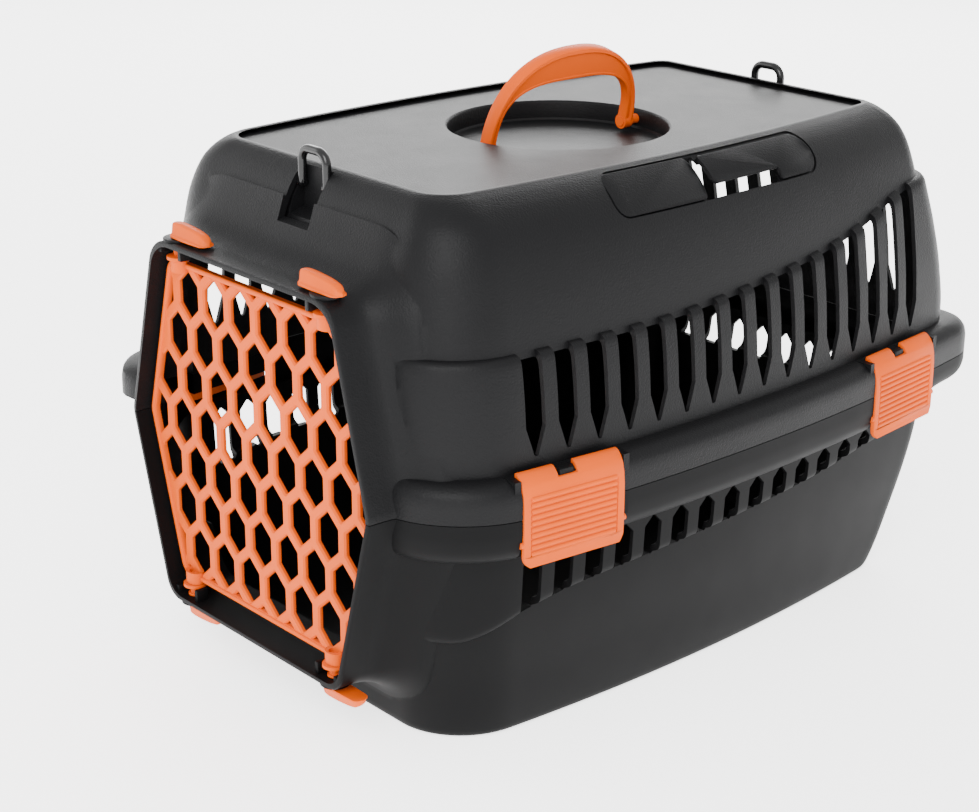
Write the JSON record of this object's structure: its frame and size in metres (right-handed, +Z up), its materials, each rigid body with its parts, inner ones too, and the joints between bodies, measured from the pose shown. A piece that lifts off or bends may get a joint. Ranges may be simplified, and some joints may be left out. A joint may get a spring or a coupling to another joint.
{
  "type": "pet carrier",
  "caption": "Hard-plastic pet carrier of two clipped shells with a grille door on turning keys, slotted sides, folding carry handle and strap loops.",
  "frame": {"origin": "middle of the footprint, on the surface that the carrier stands on", "axes": "-Y faces the doorway end, +Y the closed end, +X the side that a viewer facing the door sees on the right, +Z up"},
  "size_m": [0.333, 0.48, 0.3499],
  "materials": {
    "upper_plastic": "fine grained black polypropylene",
    "lower_plastic": "smooth satin black polypropylene",
    "loop_plastic": "glossy black rod",
    "orange_plastic": "satin orange polypropylene"
  },
  "bodies": {
    "shells": {"upper_shell": "upper_plastic", "lower_shell": "lower_plastic"},
    "door": {"door_grille": "orange_plastic"},
    "key_top_left": {"door_key_top_left": "orange_plastic"},
    "key_top_right": {"door_key_top_right": "orange_plastic"},
    "key_bottom_left": {"door_key_bottom_left": "orange_plastic"},
    "key_bottom_right": {"door_key_bottom_right": "orange_plastic"},
    "clip_front_right": {"side_clip_front_right": "orange_plastic"},
    "clip_front_left": {"side_clip_front_left": "orange_plastic"},
    "clip_rear_right": {"side_clip_rear_right": "orange_plastic"},
    "clip_rear_left": {"side_clip_rear_left": "orange_plastic"},
    "handle": {"carry_handle": "orange_plastic"},
    "loop_front": {"strap_loop_front": "loop_plastic"},
    "loop_rear": {"strap_loop_rear": "loop_plastic"}
  },
  "joints": [
    {"name": "door_swing", "type": "hinge", "parent": "shells", "child": "door", "pos_m": [-0.068, -0.231, 0.1437], "axis": [0, 0, -1], "range_deg": [0, 110]},
    {"name": "key_top_left_turn", "type": "hinge", "parent": "shells", "child": "key_top_left", "pos_m": [-0.068, -0.231, 0.2545], "axis": [0, 0, -1], "range_deg": [0, 90]},
    {"name": "key_top_right_turn", "type": "hinge", "parent": "shells", "child": "key_top_right", "pos_m": [0.068, -0.231, 0.2545], "axis": [0, 0, 1], "range_deg": [0, 90]},
    {"name": "key_bottom_left_turn", "type": "hinge", "parent": "shells", "child": "key_bottom_left", "pos_m": [-0.068, -0.231, 0.0328], "axis": [0, 0, -1], "range_deg": [0, 90]},
    {"name": "key_bottom_right_turn", "type": "hinge", "parent": "shells", "child": "key_bottom_right", "pos_m": [0.068, -0.231, 0.0328], "axis": [0, 0, -1], "range_deg": [0, 90]},
    {"name": "clip_front_right_release", "type": "hinge", "parent": "shells", "child": "clip_front_right", "pos_m": [0.15972, -0.148, 0.128], "axis": [0.1115, 0.9938, 0], "range_deg": [0, 30]},
    {"name": "clip_front_left_release", "type": "hinge", "parent": "shells", "child": "clip_front_left", "pos_m": [-0.15972, -0.148, 0.128], "axis": [0.1115, -0.9938, 0], "range_deg": [0, 30]},
    {"name": "clip_rear_right_release", "type": "hinge", "parent": "shells", "child": "clip_rear_right", "pos_m": [0.1551, 0.137, 0.128], "axis": [-0.1045, 0.9945, 0], "range_deg": [0, 30]},
    {"name": "clip_rear_left_release", "type": "hinge", "parent": "shells", "child": "clip_rear_left", "pos_m": [-0.1551, 0.137, 0.128], "axis": [-0.1045, -0.9945, 0], "range_deg": [0, 30]},
    {"name": "handle_fold", "type": "hinge", "parent": "shells", "child": "handle", "pos_m": [0, -0.0055, 0.293], "axis": [0, 1, 0], "range_deg": [-104, 76]},
    {"name": "loop_front_fold", "type": "hinge", "parent": "shells", "child": "loop_front", "pos_m": [0, -0.186, 0.291], "axis": [1, 0, 0], "range_deg": [0, 90]},
    {"name": "loop_rear_fold", "type": "hinge", "parent": "shells", "child": "loop_rear", "pos_m": [0, 0.182, 0.291], "axis": [-1, 0, 0], "range_deg": [0, 90]}
  ]
}
